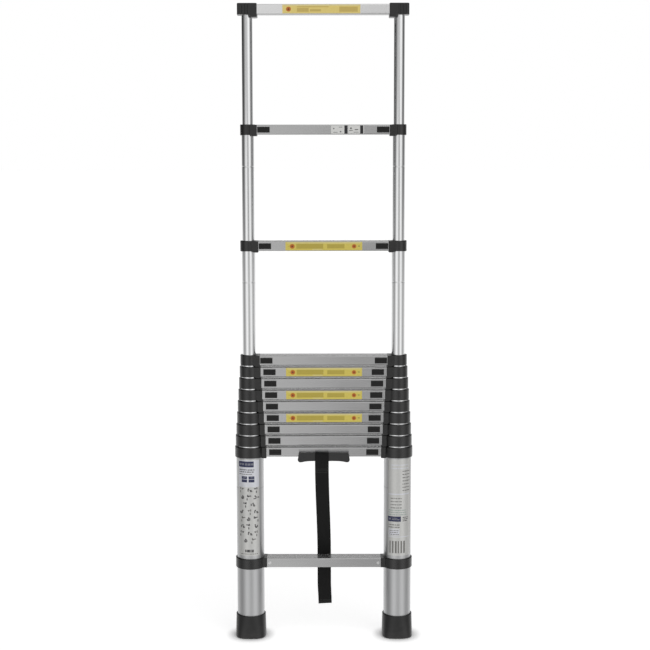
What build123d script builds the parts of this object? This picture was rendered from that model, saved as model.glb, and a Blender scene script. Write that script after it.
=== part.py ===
"""Telescoping ladder: twelve sliding sections, drawn out at the top and stacked below.

Frame: origin on the floor midway between the feet, +X to the right, +Z up, and the front,
the side with the latch buttons, faces -Y. All lengths are in millimetres.
Sections are numbered from 1 at the bottom to 12 at the top.
"""
from build123d import *

import math
import os

# Arrangement
SECTIONS = 12
STACKED_SECTIONS = 9        # sections 1 to 9 are closed up, 10 to 12 are drawn out
FIRST_RUNG_Z = 503.0        # middle of section 1's rung
BOTTOM_RUNG_Z = 203.0       # middle of the fixed rung near the floor
OPEN_PITCH = 300.0          # rung to rung when a section is drawn out
CLOSED_PITCH = 30.5         # rung to rung when the sections are stacked
TOP_STEP = 5.0              # the top cap is taller, so the top rung sits this much higher
STILE_X = 195.5             # axis of each stile from the middle of the ladder

# Stile tubes
BASE_TUBE_RADIUS = 36.0
RADIUS_STEP = 2.0           # each section's tube is this much smaller in radius
TUBE_WALL = 1.3
TUBE_ABOVE_RUNG = 10.0      # tube end above the middle of its collar
TUBE_OVERLAP = 121.0        # tube left inside the one below when fully drawn out
STOP_BEAD_DROP = 95.0       # rolled bead below the collar's middle
STOP_BEAD_DEPTH = 0.5
STOP_BEAD_HEIGHT = 3.0
LOCK_HOLE_RADIUS = 4.5

# Collars
COLLAR_WALL = 3.5
COLLAR_TOP = 13.5           # above the middle of the rung
COLLAR_BOTTOM = -14.5
COLLAR_ARCH = 1.0           # rise of the lower edge at the front and back
COLLAR_ARCH_INSET = 3.0     # the arch ends this far inside the tube's radius
COLLAR_EDGE = 1.7
CLAMP_HALF_HEIGHT = 13.75
FIT_GAP = 0.03              # between pieces that are held fast to each other
SLIDE_GAP = 0.35            # between a collar's lip and the tube that slides in it
FLANGE_REACH = 8.6          # rung end from the tube's wall
CAP_REACH = 12.3            # the same at a top cap
FLANGE_OVERLAP = 11.0       # how far the flange block runs back over the tube
FLANGE_HALF_DEPTH = 22.25
FLANGE_TOP_EDGE = 0.8
FLANGE_INNER_EDGE = 1.6     # the flange's upright edges beside the ring
LUG_DROP = 16.7             # lowest point of the lug below the middle of the rung
LUG_ROUND = 2.0
LUG_SLOPE_START = 9.0       # the lug's sloping side, measured back from the tube's wall
LUG_SLOPE_END = 3.0
LUG_SLOPE_TOP = -12.5
SPIGOT_LENGTH = 12.0
PLUG_CHAMFER = 1.6          # corners of the plugs that fit the rung's bore

# Top caps
CAP_TOP = 15.5
CAP_BOTTOM = -13.6
CAP_OUTWARD = 24.4
CAP_LID = 4.0               # plain band above the flutes
CAP_CORNER = 5.0
CAP_TOP_EDGE = 2.5
CAP_LUG_DROP = 20.2
CAP_FLUTE_PITCH = 7.6
CAP_FLUTE_RADIUS = 2.6
CAP_FLUTE_DEPTH = 1.3

# Glide bushes at the foot of each sliding tube
BUSH_HEIGHT = 25.0
BUSH_FLANGE = 3.0
BUSH_GAP = 0.1
BUSH_SPIGOT = 10.0
BUSH_WALL = 1.5

# Rungs
RUNG_DEPTH = 43.0
RUNG_HEIGHT = 25.5
RUNG_CORNER = 3.0
RUNG_WALL = 1.6
TREAD_GROOVES = 5
TREAD_PITCH = 6.5
TREAD_WIDTH = 1.4
TREAD_DEPTH = 0.5

# Latches, measured along the rung from its end
BUTTON_LENGTH = 32.0
BUTTON_HEIGHT = 14.5
BUTTON_THICK = 4.2
BUTTON_GAP = 0.3            # between the button and the rung's face
BUTTON_CHAMFER = 1.1
BUTTON_LOCKED = 1.0         # rung end to button when locked
GRIP_LINE_INSET = 3.5       # from the button's end to its two grip lines
GRIP_LINE_HEIGHT = 2.2      # of each grip line above and below the middle
GRIP_LINE_WIDTH = 0.9
GRIP_LINE_DEPTH = 0.5
LATCH_TRAVEL = 6.0
STEM_WIDTH = 6.0
STEM_HEIGHT = 6.0
SLOT_MARGIN = 0.5
SLIDER_START = 13.0         # rung end to slider when locked
SLIDER_LENGTH = 20.0
SLIDER_HALF_HEIGHT = 8.0
SLIDER_BACK = 8.0
SLIDER_FRONT_GAP = 1.5      # between the slider and the inside of the rung's front wall
SLIDER_CHAMFER = 1.0
PIN_RADIUS = 4.0
PIN_CHAMFER = 0.6
PIN_GAP = 0.08
PIN_IN_SLIDER = 10.0
SPRING_BOSS_RADIUS = 2.5
SPRING_BOSS_LENGTH = 4.0
STOP_BLOCK_START = 56.0
STOP_BLOCK_LENGTH = 6.0
INSIDE_GAP = 0.15           # between the rung's bore and what sits in it

# Rivets
RIVET_RADIUS = 2.0
RIVET_HEAD_RADIUS = 3.6
RIVET_HEAD_HEIGHT = 1.2
RIVET_HEAD_EDGE = 1.0
RIVET_LENGTH = 6.0
RIVET_FROM_END = 7.0

# Feet
FOOT_HEIGHT = 61.0
FOOT_TOP_RADIUS = 39.2
FOOT_WIDTH = 81.5
FOOT_DEPTH = 83.0
FOOT_SQUARENESS = 3.0       # power of the sole's rounded-square outline; 2 would be an ellipse
FOOT_FLOOR = 8.0
FOOT_RIM = 0.8
FOOT_EDGE = 3.0
SOLE_GROOVE_WIDTH = 3.0
SOLE_GROOVE_DEPTH = 1.5
SOLE_GROOVE_PITCH = 12.0
SOLE_GROOVES = 6

# Carry handle
HANDLE_TOP_Z = 503.0
HANDLE_BACK_Y = -28.0
HANDLE_FRONT_Y = -38.5
HANDLE_OUTLINE = [          # right half of the lower edge, from the end to the middle
    (68.0, -15.0), (67.6, -20.5), (63.5, -24.0), (56.5, -23.6), (42.0, -21.4), (20.0, -20.8),
]
HANDLE_TOP_HALF = 65.0
HANDLE_PAD_X = 53.0
HANDLE_PAD_LENGTH = 16.0
HANDLE_PAD_HEIGHT = 13.0
HANDLE_PAD_DROP = 1.0       # pad top below the grip's top
HANDLE_EDGE = 2.4

# Carry strap
STRAP_WIDTH = 36.0
STRAP_THICK = 1.8
STRAP_X = -1.5
STRAP_TAIL_Z = 483.0        # lower end behind the grip
STRAP_BEND_Z = 479.0        # where it leaves the grip's front
STRAP_END_Z = 78.0
STRAP_STANDOFF = 0.5        # between the webbing and what it passes

# Cutting tools
PAST = 1.0                  # how far a cutter or a joined piece runs past the face
THROUGH = 100.0             # long enough to cut right through


def tube_radius(section):
    return BASE_TUBE_RADIUS - (section - 1) * RADIUS_STEP


def tube_bore(section):
    return tube_radius(section) - TUBE_WALL


def rung_z(section):
    """Height of the middle of a section's rung in the modelled position."""
    stacked = min(section, STACKED_SECTIONS) - 1
    drawn = max(section - STACKED_SECTIONS, 0)
    height = FIRST_RUNG_Z + stacked * CLOSED_PITCH + drawn * OPEN_PITCH
    return height + TOP_STEP if section == SECTIONS else height


def open_pitch(section):
    """Drawn-out distance from the rung below up to this section's rung."""
    return OPEN_PITCH + TOP_STEP if section == SECTIONS else OPEN_PITCH


def flange_end(section):
    """Distance from a stile's axis to the end of its rung."""
    return tube_radius(section) + (CAP_REACH if section == SECTIONS else FLANGE_REACH)


def rung_half_length(section):
    return STILE_X - flange_end(section)


def latch_locked(section):
    """A latch is locked when the section above it is drawn out."""
    return STACKED_SECTIONS <= section < SECTIONS


def upright(points):
    """A face from (radius, height) points in the XZ plane."""
    return Plane.XZ * make_face(Polyline(*points, close=True))


def spin(points):
    return revolve(upright(points), Axis.Z)


def both_sides(piece):
    """A right-hand piece, placed on its stile, and its mirror image on the left."""
    right = Pos(STILE_X, 0, 0) * piece
    return [right, mirror(right, about=Plane.YZ)]


def pin_bore(radius, start, end, height=0.0):
    """A round bore towards the middle of the ladder, between two distances from the axis."""
    middle = (start + end) / 2
    return Pos(-middle, 0, height) * Rot(0, 90, 0) * Cylinder(radius, abs(end - start))


# --- Stile tubes ---

def tube(section):
    """One stile tube about the Z axis, heights measured from the middle of its own rung."""
    outer = tube_radius(section)
    inner = tube_bore(section)
    top = TUBE_ABOVE_RUNG
    if section == 1:
        bottom = FOOT_FLOOR - FIRST_RUNG_Z
    else:
        bottom = -open_pitch(section) - TUBE_OVERLAP
    if section == SECTIONS:
        body = spin([(inner, bottom), (outer, bottom), (outer, top), (inner, top)])
    else:
        low = -STOP_BEAD_DROP - STOP_BEAD_HEIGHT / 2
        high = -STOP_BEAD_DROP + STOP_BEAD_HEIGHT / 2
        slope = STOP_BEAD_HEIGHT / 4
        groove = [(0, low), (STOP_BEAD_DEPTH, low + slope), (STOP_BEAD_DEPTH, high - slope), (0, high)]
        outside = [(outer - depth, height) for depth, height in groove]
        inside = [(inner - depth, height) for depth, height in reversed(groove)]
        body = spin([(outer, bottom), *outside, (outer, top), (inner, top), *inside, (inner, bottom)])
        body -= pin_bore(PIN_RADIUS + PIN_GAP, inner / 2, outer + PAST)
    if section > 1:
        body -= pin_bore(LOCK_HOLE_RADIUS, inner / 2, outer + PAST, -open_pitch(section))
    return body


def glide_bush(section):
    """The nylon bush on the lower end of a sliding tube."""
    outer = tube_bore(section - 1) - BUSH_GAP
    tube_outer = tube_radius(section) + FIT_GAP
    tube_inner = tube_bore(section) - FIT_GAP
    bore = tube_inner - BUSH_WALL
    end = -open_pitch(section) - TUBE_OVERLAP
    sleeve_top = end + BUSH_HEIGHT - BUSH_FLANGE
    spigot_top = end + BUSH_SPIGOT
    return spin([
        (bore, end - BUSH_FLANGE), (outer, end - BUSH_FLANGE), (outer, sleeve_top),
        (tube_outer, sleeve_top), (tube_outer, end), (tube_inner, end),
        (tube_inner, spigot_top), (bore, spigot_top),
    ])


# --- Collars, clamps and caps ---

def rounded_ring(radius, bottom, top, arch):
    """A solid disc with rounded rims, its lower edge arched up at the front and back."""
    ring = Pos(0, 0, (top + bottom) / 2) * Cylinder(radius, top - bottom)
    ring = fillet(ring.edges().filter_by(GeomType.CIRCLE), COLLAR_EDGE)
    if arch:
        half_span = radius - COLLAR_ARCH_INSET
        bow = (half_span ** 2 + arch ** 2) / (2 * arch)
        ring -= Pos(0, 0, bottom + arch - bow) * Rot(90, 0, 0) * Cylinder(bow, THROUGH)
    return ring


def flange_block(section, drop):
    """The block between a collar and its rung; below the rung it becomes a lug sloping up to the ring."""
    radius = tube_radius(section)
    near, far = flange_end(section), radius - FLANGE_OVERLAP
    top = RUNG_HEIGHT / 2
    if drop > top:
        slope_start, slope_end = radius - LUG_SLOPE_START, radius - LUG_SLOPE_END
        outline = [
            (-near, top), (-far, top), (-far, LUG_SLOPE_TOP), (-slope_start, LUG_SLOPE_TOP),
            (-slope_end, -drop), (-near, -drop),
        ]
    else:
        outline = [(-near, top), (-far, top), (-far, -drop), (-near, -drop)]
    profile = make_face(Polyline(*outline, close=True))
    profile = fillet(profile.vertices().group_by(Axis.Y)[-1], FLANGE_TOP_EDGE)
    profile = fillet(profile.vertices().group_by(Axis.Y)[0], LUG_ROUND if drop > top else FLANGE_TOP_EDGE)
    block = extrude(Plane.XZ * profile, FLANGE_HALF_DEPTH, both=True)
    beside_ring = block.edges().filter_by(Axis.Z).group_by(Axis.X)[-1]
    return fillet(beside_ring, FLANGE_INNER_EDGE)


def rung_plug(length):
    """A block along X that fits the rung's bore."""
    depth = RUNG_DEPTH - 2 * RUNG_WALL - 2 * INSIDE_GAP
    height = RUNG_HEIGHT - 2 * RUNG_WALL - 2 * INSIDE_GAP
    plug = Box(length, depth, height)
    return chamfer(plug.edges().filter_by(Axis.X), PLUG_CHAMFER)


def tube_socket(radius):
    """The cutter for a socket that stops at the tube's upper end."""
    return Pos(0, 0, TUBE_ABOVE_RUNG + FIT_GAP - THROUGH / 2) * Cylinder(radius + FIT_GAP, THROUGH)


def spigot(section):
    """The plug that carries the rung's open end."""
    near = flange_end(section)
    plug = rung_plug(SPIGOT_LENGTH + 2 * PAST)
    return Pos(-near - SPIGOT_LENGTH / 2 + PAST, 0, 0) * plug


def collar(section):
    """A moulded collar: ring round the tube, flange, lug and spigot in one piece."""
    radius = tube_radius(section)
    body = rounded_ring(radius + COLLAR_WALL, COLLAR_BOTTOM, COLLAR_TOP, COLLAR_ARCH)
    body += flange_block(section, LUG_DROP)
    body += spigot(section)
    body -= tube_socket(radius)
    body -= Cylinder(tube_radius(section + 1) + SLIDE_GAP, THROUGH)
    reach = flange_end(section) + SPIGOT_LENGTH + PAST
    body -= pin_bore(PIN_RADIUS + PIN_GAP, radius - PAST, reach)
    return body


def bottom_clamp():
    """The collar that holds the fixed bottom rung on the base tube."""
    body = rounded_ring(BASE_TUBE_RADIUS + COLLAR_WALL, -CLAMP_HALF_HEIGHT, CLAMP_HALF_HEIGHT, 0)
    body += flange_block(1, RUNG_HEIGHT / 2)
    body += spigot(1)
    body -= Cylinder(BASE_TUBE_RADIUS + FIT_GAP, THROUGH)
    end = flange_end(1) + RIVET_FROM_END
    for side in (-1, 1):
        hole = Cylinder(RIVET_RADIUS + FIT_GAP, 2 * RIVET_LENGTH)
        body -= Pos(-end, side * RUNG_DEPTH / 2, 0) * Rot(90, 0, 0) * hole
    return body


def top_cap():
    """The fluted cap that closes the top of each stile and carries the top rung."""
    width = flange_end(SECTIONS) + CAP_OUTWARD
    middle = CAP_OUTWARD - width / 2
    plan = Pos(middle, 0) * RectangleRounded(width, 2 * FLANGE_HALF_DEPTH, CAP_CORNER)
    body = extrude(Pos(0, 0, CAP_BOTTOM) * plan, CAP_TOP - CAP_BOTTOM)
    body = fillet(body.faces().sort_by(Axis.Z)[-1].edges(), CAP_TOP_EDGE)
    flute_height = CAP_TOP - CAP_BOTTOM - CAP_LID
    flute = Pos(0, 0, CAP_BOTTOM + flute_height / 2) * Cylinder(CAP_FLUTE_RADIUS, flute_height)
    sunk = CAP_FLUTE_RADIUS - CAP_FLUTE_DEPTH
    for i in range(-2, 3):
        for side in (-1, 1):
            body -= Pos(middle + i * CAP_FLUTE_PITCH, side * (FLANGE_HALF_DEPTH + sunk), 0) * flute
        body -= Pos(CAP_OUTWARD + sunk, i * CAP_FLUTE_PITCH, 0) * flute
    body += flange_block(SECTIONS, CAP_LUG_DROP)
    body += spigot(SECTIONS)
    return body - tube_socket(tube_radius(SECTIONS))


# --- Rungs ---

def rung_profile():
    """Closed box section of the rung in (depth, height), with grip grooves along its top."""
    outside = RectangleRounded(RUNG_DEPTH, RUNG_HEIGHT, RUNG_CORNER)
    for i in range(TREAD_GROOVES):
        y = (i - (TREAD_GROOVES - 1) / 2) * TREAD_PITCH
        outside -= Pos(y, RUNG_HEIGHT / 2) * Rectangle(TREAD_WIDTH, 2 * TREAD_DEPTH)
    bore_depth = RUNG_DEPTH - 2 * RUNG_WALL
    bore_height = RUNG_HEIGHT - 2 * RUNG_WALL
    return outside - RectangleRounded(bore_depth, bore_height, RUNG_CORNER - RUNG_WALL)


def plain_rung(half_length):
    return extrude(Plane.YZ * rung_profile(), half_length, both=True)


def latch_slot(half_length):
    """The slot in the rung's face that a latch's stem runs in."""
    start = BUTTON_LOCKED + (BUTTON_LENGTH - STEM_WIDTH) / 2 - SLOT_MARGIN
    length = STEM_WIDTH + LATCH_TRAVEL + 2 * SLOT_MARGIN
    slot = Box(length, 3 * RUNG_WALL, STEM_HEIGHT + 2 * SLOT_MARGIN)
    return Pos(half_length - start - length / 2, -RUNG_DEPTH / 2, 0) * slot


def slotted_rung(section):
    half = rung_half_length(section)
    rung = plain_rung(half)
    slot = latch_slot(half)
    return rung - slot - mirror(slot, about=Plane.YZ)


def spring_stop(section):
    """The block riveted inside the rung that a latch's spring pushes against."""
    block = rung_plug(STOP_BLOCK_LENGTH)
    boss = Rot(0, 90, 0) * Cylinder(SPRING_BOSS_RADIUS, SPRING_BOSS_LENGTH)
    block += Pos((STOP_BLOCK_LENGTH + SPRING_BOSS_LENGTH) / 2, 0, 0) * boss
    x = rung_half_length(section) - STOP_BLOCK_START - STOP_BLOCK_LENGTH / 2
    return Pos(x, 0, 0) * block


def rivet(x, side):
    """A domed rivet through the rung's front (-1) or back (1) wall."""
    shank = Cylinder(RIVET_RADIUS, RIVET_LENGTH)
    head = Pos(0, 0, (RIVET_LENGTH + RIVET_HEAD_HEIGHT) / 2) * Cylinder(RIVET_HEAD_RADIUS, RIVET_HEAD_HEIGHT)
    head = fillet(head.edges().sort_by(Axis.Z)[-1], RIVET_HEAD_EDGE)
    face = side * RUNG_DEPTH / 2
    return Pos(x, face - side * RIVET_LENGTH / 2, 0) * Rot(-90 * side, 0, 0) * (shank + head)


def bottom_rung():
    """The fixed rung with the four rivets that hold it to its clamps."""
    half = rung_half_length(1)
    rung = plain_rung(half)
    rivets = []
    for x in (half - RIVET_FROM_END, -half + RIVET_FROM_END):
        for side in (-1, 1):
            hole = Rot(90, 0, 0) * Cylinder(RIVET_RADIUS + FIT_GAP, 3 * RIVET_LENGTH)
            rung -= Pos(x, side * RUNG_DEPTH / 2, 0) * hole
            rivets.append(rivet(x, side))
    return [rung, *rivets]


def rung_pieces(section):
    """A section's rung with its spring stops, heights measured from the rung's middle."""
    if section == SECTIONS:
        return [plain_rung(rung_half_length(section))]
    stop = spring_stop(section)
    return [slotted_rung(section), stop, mirror(stop, about=Plane.YZ)]


# --- Latches ---

def latch_slider(section):
    """Button, stem and slider of the right-hand latch, moulded in one, when locked."""
    half = rung_half_length(section)
    front = -RUNG_DEPTH / 2 - BUTTON_GAP
    inner = -RUNG_DEPTH / 2 + RUNG_WALL + SLIDER_FRONT_GAP
    middle = half - BUTTON_LOCKED - BUTTON_LENGTH / 2
    button = Pos(middle, front - BUTTON_THICK / 2, 0) * Box(BUTTON_LENGTH, BUTTON_THICK, BUTTON_HEIGHT)
    button = chamfer(button.faces().sort_by(Axis.Y)[0].edges(), BUTTON_CHAMFER)
    grip_line = Box(BUTTON_LENGTH - 2 * GRIP_LINE_INSET, 2 * GRIP_LINE_DEPTH, GRIP_LINE_WIDTH)
    for height in (-GRIP_LINE_HEIGHT, GRIP_LINE_HEIGHT):
        button -= Pos(middle, front - BUTTON_THICK, height) * grip_line
    stem = Pos(middle, (front + inner) / 2, 0) * Box(STEM_WIDTH, inner - front + PAST, STEM_HEIGHT)
    slider_middle = half - SLIDER_START - SLIDER_LENGTH / 2
    depth = SLIDER_BACK - inner
    slider = Box(SLIDER_LENGTH, depth, 2 * SLIDER_HALF_HEIGHT)
    slider = chamfer(slider.edges().filter_by(Axis.X), SLIDER_CHAMFER)
    slider = Pos(slider_middle, (SLIDER_BACK + inner) / 2, 0) * slider
    boss = Rot(0, 90, 0) * Cylinder(SPRING_BOSS_RADIUS, SPRING_BOSS_LENGTH)
    boss = Pos(half - SLIDER_START - SLIDER_LENGTH - SPRING_BOSS_LENGTH / 2, 0, 0) * boss
    socket = Rot(0, 90, 0) * Cylinder(PIN_RADIUS + FIT_GAP, PIN_IN_SLIDER)
    socket = Pos(half - SLIDER_START - PIN_IN_SLIDER / 2, 0, 0) * socket
    return button + stem + slider + boss - socket


def latch_pin(section):
    """The steel pin, its tip level with the bore of its own stile tube when locked."""
    tip = STILE_X - tube_bore(section)
    tail = rung_half_length(section) - SLIDER_START - PIN_IN_SLIDER
    pin = Rot(0, 90, 0) * Cylinder(PIN_RADIUS, tip - tail)
    pin = chamfer(pin.edges().sort_by(Axis.X)[-1], PIN_CHAMFER)
    return Pos((tip + tail) / 2, 0, 0) * pin


def latch(section, side):
    """The two solids of one latch in the modelled position."""
    back = 0 if latch_locked(section) else LATCH_TRAVEL
    place = Pos(-back, 0, rung_z(section))
    pieces = [place * latch_slider(section), place * latch_pin(section)]
    if side == "left":
        pieces = [mirror(piece, about=Plane.YZ) for piece in pieces]
    return pieces


# --- Feet ---

def rounded_square(width, depth, power, points=24):
    """A closed smooth outline between an ellipse and a rectangle."""
    corners = []
    for i in range(points):
        along, across = math.cos(2 * math.pi * i / points), math.sin(2 * math.pi * i / points)
        x = math.copysign(abs(along) ** (2 / power), along) * width / 2
        y = math.copysign(abs(across) ** (2 / power), across) * depth / 2
        corners.append((x, y))
    return make_face(Spline(*corners, periodic=True))


def foot():
    """A rubber foot, round at the tube and nearly square at the sole."""
    sole = rounded_square(FOOT_WIDTH, FOOT_DEPTH, FOOT_SQUARENESS)
    rim = Pos(0, 0, FOOT_HEIGHT) * Circle(FOOT_TOP_RADIUS)
    body = loft([sole, rim])
    body = fillet(body.faces().sort_by(Axis.Z)[0].edges(), FOOT_EDGE)
    body = fillet(body.faces().sort_by(Axis.Z)[-1].edges(), FOOT_RIM)
    body -= Pos(0, 0, FOOT_FLOOR + THROUGH / 2) * Cylinder(BASE_TUBE_RADIUS + FIT_GAP, THROUGH)
    groove = Box(SOLE_GROOVE_WIDTH, THROUGH, 2 * SOLE_GROOVE_DEPTH)
    for i in range(SOLE_GROOVES):
        body -= Pos((i - (SOLE_GROOVES - 1) / 2) * SOLE_GROOVE_PITCH, 0, 0) * groove
    return body


# --- Carry handle and strap ---

def carry_handle():
    """The moulded grip, standing off the first rung on a pad at each end."""
    lower = [(x, HANDLE_TOP_Z + z) for x, z in HANDLE_OUTLINE]
    lower += [(-x, z) for x, z in reversed(lower)]
    start, end = lower[0], lower[-1]
    top_right, top_left = (HANDLE_TOP_HALF, HANDLE_TOP_Z), (-HANDLE_TOP_HALF, HANDLE_TOP_Z)
    outline = Spline(*lower) + Polyline(end, top_left, top_right, start)
    thick = HANDLE_BACK_Y - HANDLE_FRONT_Y
    grip = extrude(Plane.XZ * make_face(outline), thick / 2, both=True)
    grip = Pos(0, (HANDLE_BACK_Y + HANDLE_FRONT_Y) / 2, 0) * grip
    grip = fillet(grip.faces().filter_by(Axis.Y).edges(), HANDLE_EDGE)
    rung_face = -RUNG_DEPTH / 2
    pad_depth = rung_face - HANDLE_BACK_Y
    for side in (-1, 1):
        pad = Box(HANDLE_PAD_LENGTH, pad_depth + 2 * PAST, HANDLE_PAD_HEIGHT)
        pad_z = HANDLE_TOP_Z - HANDLE_PAD_DROP - HANDLE_PAD_HEIGHT / 2
        grip += Pos(side * HANDLE_PAD_X, rung_face - pad_depth / 2 - PAST, pad_z) * pad
    return grip


def carry_strap():
    """Flat webbing: round the grip, down behind the bottom rung, and hanging free."""
    half = STRAP_THICK / 2
    away = half + STRAP_STANDOFF
    back_of_grip = HANDLE_BACK_Y + away
    front_of_grip = HANDLE_FRONT_Y - away
    over_grip = HANDLE_TOP_Z + away
    behind_rung = RUNG_DEPTH / 2 + away
    above_rung = BOTTOM_RUNG_Z + RUNG_HEIGHT / 2 + STRAP_STANDOFF
    route = [
        (back_of_grip, STRAP_TAIL_Z), (back_of_grip, over_grip), (front_of_grip, over_grip),
        (front_of_grip, STRAP_BEND_Z), (behind_rung, above_rung), (behind_rung, STRAP_END_Z),
    ]
    line = Polyline(*route)
    strip = offset(line, half, side=Side.BOTH, kind=Kind.INTERSECTION)
    return Pos(STRAP_X, 0, 0) * extrude(Plane.YZ * make_face(strip), STRAP_WIDTH / 2, both=True)


def raised(pieces, height):
    return [Pos(0, 0, height) * piece for piece in pieces]


def section_nodes(section):
    """Tubes, rung pieces and collars of one section, as lists of separate solids."""
    height = rung_z(section)
    tubes = raised(both_sides(tube(section)), height)
    rungs = raised(rung_pieces(section), height)
    if section == SECTIONS:
        collars = raised(both_sides(top_cap()), height)
    else:
        collars = raised(both_sides(collar(section)), height)
    if section > 1:
        collars += raised(both_sides(glide_bush(section)), height)
    else:
        rungs += raised(bottom_rung(), BOTTOM_RUNG_Z)
        collars += raised(both_sides(bottom_clamp()), BOTTOM_RUNG_Z)
    if section == SECTIONS:
        return {"section_12_tubes_and_rung": tubes + rungs, "section_12_top_caps": collars}
    name = f"section_{section:02d}"
    return {f"{name}_tubes": tubes, f"{name}_rung": rungs, f"{name}_collars": collars}


def ladder():
    """Every node's name with its list of separate solids."""
    nodes = {}
    for section in range(1, SECTIONS + 1):
        nodes.update(section_nodes(section))
    for section in range(1, SECTIONS):
        for side in ("left", "right"):
            nodes[f"latch_{section:02d}_{side}"] = latch(section, side)
    nodes["feet"] = both_sides(foot())
    nodes["carry_handle"] = [carry_handle()]
    nodes["carry_strap"] = [carry_strap()]
    return nodes


def solids_of(pieces):
    return [solid for piece in pieces for solid in piece.solids()]


os.makedirs("parts", exist_ok=True)
for node, pieces in ladder().items():
    export_step(Compound(children=solids_of(pieces)), f"parts/{node}.step")
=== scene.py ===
import math

import bmesh
import bpy
from mathutils import Matrix, Vector


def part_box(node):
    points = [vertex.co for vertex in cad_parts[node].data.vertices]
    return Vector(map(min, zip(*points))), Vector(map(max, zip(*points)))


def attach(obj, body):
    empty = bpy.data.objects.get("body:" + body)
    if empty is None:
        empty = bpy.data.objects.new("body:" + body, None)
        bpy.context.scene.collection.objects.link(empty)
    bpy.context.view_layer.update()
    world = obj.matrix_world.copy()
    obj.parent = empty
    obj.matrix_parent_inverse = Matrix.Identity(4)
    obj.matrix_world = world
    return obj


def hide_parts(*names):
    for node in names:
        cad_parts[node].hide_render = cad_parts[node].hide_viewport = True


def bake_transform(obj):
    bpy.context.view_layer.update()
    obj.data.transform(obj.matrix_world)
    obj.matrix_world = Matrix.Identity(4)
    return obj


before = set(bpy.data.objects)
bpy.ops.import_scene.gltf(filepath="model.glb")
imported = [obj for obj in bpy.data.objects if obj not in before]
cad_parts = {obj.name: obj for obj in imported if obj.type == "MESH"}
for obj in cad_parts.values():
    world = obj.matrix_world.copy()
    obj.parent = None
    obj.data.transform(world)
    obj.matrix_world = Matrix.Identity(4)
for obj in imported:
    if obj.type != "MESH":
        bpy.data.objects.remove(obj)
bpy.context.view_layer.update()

# Sizes in metres. The front of the ladder is -Y.
SECTIONS = 12
SIDES = ("left", "right")
BASE = "base"
TOP_NODE = "section_12_tubes_and_rung"
RUNG_PITCH = 0.300            # between the bottom rung and the first section's rung
RUNG_FACE = 0.0215            # from the middle plane to a rung's front or back face
CAP_TO_RUNG = 0.0155          # top of the caps down to the middle of the top rung
TUBE_EDGE_X = 0.1805          # the top tubes stand outside this, the top rung inside
RIVET_RISE = 0.0002           # what stands this far off a rung's faces is a rivet
PIN_SET_BACK = 0.001          # a latch is steel from here, measured back from its rung's end

BOSS_LENGTH = 0.004           # spring boss on the slider
STOP_FACE = 0.056             # rung end to the stop that a spring pushes against
SPRING_RADIUS = 0.0042
SPRING_WIRE = 0.00042         # radius of the wire
SPRING_TURNS = 9
SPRING_STEPS = 14             # in each turn
WIRE_SIDES = 6

FILM = 0.00012                # thickness of a label's film
INK = 0.00003                 # thickness of one layer of print
DOT_SIDES = 14

STRAP_HALF_WIDTH = 0.0181
STRAP_THICK = 0.0016
STRAP_SELVEDGE = 0.0021


# --- Shader building ---

def node(tree, kind, sockets=None, **settings):
    """A shader node with its settings, values and incoming links."""
    made = tree.nodes.new("ShaderNode" + kind)
    for key, value in settings.items():
        setattr(made, key, value)
    for key, value in (sockets or {}).items():
        if isinstance(value, bpy.types.NodeSocket):
            tree.links.new(value, made.inputs[key])
        else:
            made.inputs[key].default_value = value
    return made


def position(tree):
    """The place in the row's frame, because every object stands at its origin."""
    return node(tree, "TexCoord").outputs["Object"]


def noise(tree, scale, detail=3.0, roughness=0.55):
    """Noise from 0 to 1 with its own frequency along x, y and z, in cycles per metre."""
    stretched = node(tree, "Mapping", {"Vector": position(tree), "Scale": scale})
    values = {"Vector": stretched.outputs[0], "Scale": 1.0, "Detail": detail, "Roughness": roughness}
    return node(tree, "TexNoise", values).outputs[0]


def remap(tree, value, low, high, start=0.0, end=1.0):
    """Turns start to end into low to high, and holds those beyond."""
    values = {"Value": value, "From Min": start, "From Max": end, "To Min": low, "To Max": high}
    return node(tree, "MapRange", values).outputs[0]


def combine(tree, operation, first, second):
    return node(tree, "Math", {0: first, 1: second}, operation=operation).outputs[0]


def mix(tree, share, first, second):
    return node(tree, "MixRGB", {0: share, 1: first, 2: second}).outputs[0]


def bump(tree, height, distance, strength=1.0, under=None):
    values = {"Height": height, "Distance": distance, "Strength": strength}
    if under is not None:
        values["Normal"] = under
    return node(tree, "Bump", values).outputs[0]


def edges(tree, radius, share=1.0):
    """0 on flat faces, rising to share on rounded edges, where the pale edge colour goes: wear, and on
    metal and plastic also a painted highlight.
    """
    rounded = node(tree, "Bevel", {"Radius": radius}, samples=4).outputs[0]
    normal = node(tree, "NewGeometry").outputs["Normal"]
    facing = node(tree, "VectorMath", {0: rounded, 1: normal}, operation="DOT_PRODUCT").outputs["Value"]
    return remap(tree, facing, share, 0.0, EDGE_FULL, EDGE_START)


def grey(value, warmth=0.0):
    """A grey as a colour, warmer with more red and less blue."""
    return (value + warmth, value, value - warmth, 1.0)


def new_material(name):
    material = bpy.data.materials.new(name)
    material.use_nodes = True
    tree = material.node_tree
    return material, tree, tree.nodes["Principled BSDF"]


def feed(tree, surface, **sockets):
    """Connects or sets the surface's sockets; an underscore stands for a space."""
    for key, value in sockets.items():
        socket = surface.inputs[key.replace("_", " ")]
        if isinstance(value, bpy.types.NodeSocket):
            tree.links.new(value, socket)
        else:
            socket.default_value = value


def split_finish(material, inner, outer, axis, limit):
    """The inner finish within the limit along an axis on both sides of the middle, the outer beyond."""
    tree = material.node_tree
    along = node(tree, "SeparateXYZ", {0: position(tree)}).outputs[axis]
    beyond = combine(tree, "GREATER_THAN", combine(tree, "ABSOLUTE", along, 0.0), limit)
    both = node(tree, "MixShader", {0: beyond, 1: inner.outputs[0], 2: outer.outputs[0]})
    tree.links.new(both.outputs[0], tree.nodes["Material Output"].inputs["Surface"])


# --- Materials ---

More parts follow.
